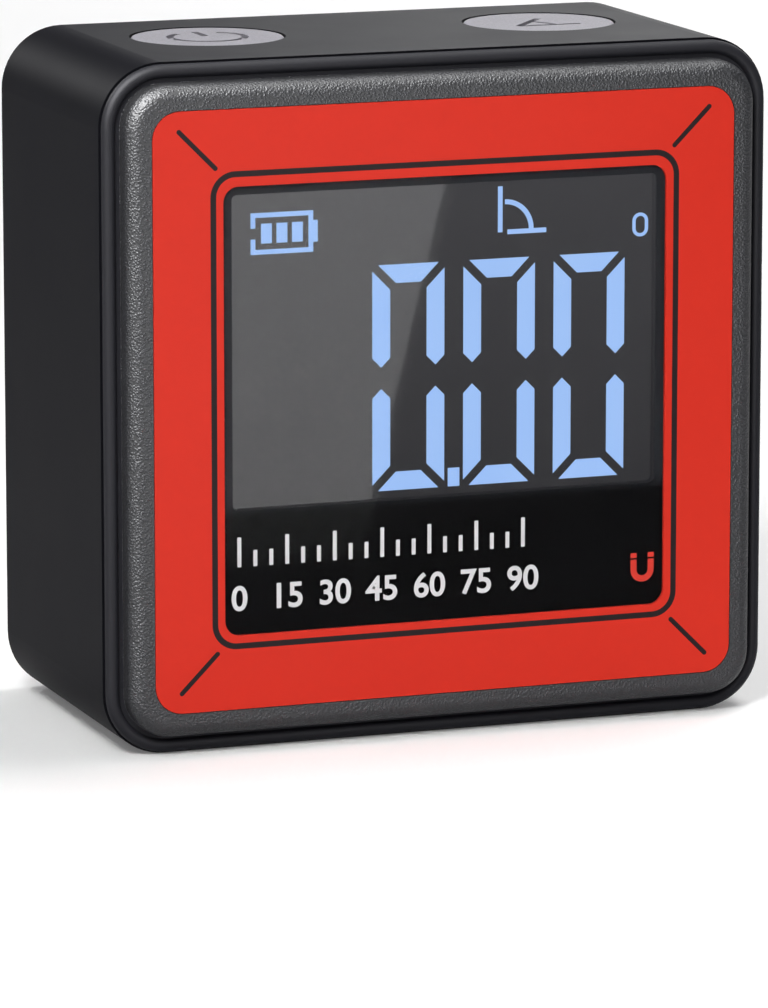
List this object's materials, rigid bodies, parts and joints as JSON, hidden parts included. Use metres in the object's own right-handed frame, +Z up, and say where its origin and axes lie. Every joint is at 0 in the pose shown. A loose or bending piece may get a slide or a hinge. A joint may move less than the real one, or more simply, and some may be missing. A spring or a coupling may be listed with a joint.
{
  "type": "digital angle gauge",
  "caption": "Small square digital angle gauge with a magnetic base, a red face panel round a backlit display and push buttons on top.",
  "frame": {"origin": "middle of the base's underside", "axes": "+X to the right across the face, +Y towards the back, +Z up from the base"},
  "size_m": [0.052, 0.027, 0.051],
  "materials": {
    "case_black": "fine satin moulded black plastic",
    "bezel_grain": "moulded black plastic, grained on its face and smooth on its lip",
    "cover_black": "fine matte moulded black plastic",
    "panel_red": "satin red printed plastic sheet",
    "line_black": "matte black ink filling",
    "lens_clear": "polished clear acrylic",
    "border_black": "black print behind the window",
    "display_dark": "dark display glass",
    "segment_blue": "lit light blue",
    "guide_white": "clear white light guide",
    "holder_white": "moulded white plastic",
    "strip_pink": "layered silicone",
    "board_green": "solder mask on glass fibre board",
    "chip_black": "moulded epoxy",
    "foam_grey": "soft foam",
    "cell_silver": "foil pouch",
    "screw_steel": "zinc-plated steel",
    "socket_steel": "drawn stainless steel",
    "magnet_nickel": "nickel plating",
    "button_silver": "silver-painted moulded plastic",
    "plunger_cream": "moulded plastic"
  },
  "bodies": {
    "case": {"body_frame": "case_black", "front_bezel": "bezel_grain", "rear_cover": "cover_black", "case_screws": "screw_steel", "face_panel": "panel_red", "panel_lines": "line_black", "display_lens": "lens_clear", "lens_border": "border_black", "display_glass": "display_dark", "display_segments": "segment_blue", "backlight_plate": "guide_white", "display_holder": "holder_white", "contact_strip": "strip_pink", "main_board": "board_green", "board_screws": "screw_steel", "controller_chip": "chip_black", "tilt_sensor": "chip_black", "battery_pad": "foam_grey", "battery_cell": "cell_silver", "button_board": "board_green", "board_header": "chip_black", "power_switch": "chip_black", "mode_switch": "chip_black", "charge_board": "board_green", "socket_shell": "socket_steel", "socket_tongue": "chip_black", "base_magnets": "magnet_nickel"},
    "power_key": {"power_button": "button_silver", "power_plunger": "plunger_cream"},
    "mode_key": {"mode_button": "button_silver", "mode_plunger": "plunger_cream"}
  },
  "joints": [
    {"name": "power_press", "type": "slide", "parent": "case", "child": "power_key", "axis": [0, 0, -1], "range_m": [0, 0.0003], "stiffness_N_per_m": 1500, "springref_m": -0.0002},
    {"name": "mode_press", "type": "slide", "parent": "case", "child": "mode_key", "axis": [0, 0, -1], "range_m": [0, 0.0003], "stiffness_N_per_m": 1500, "springref_m": -0.0002}
  ]
}
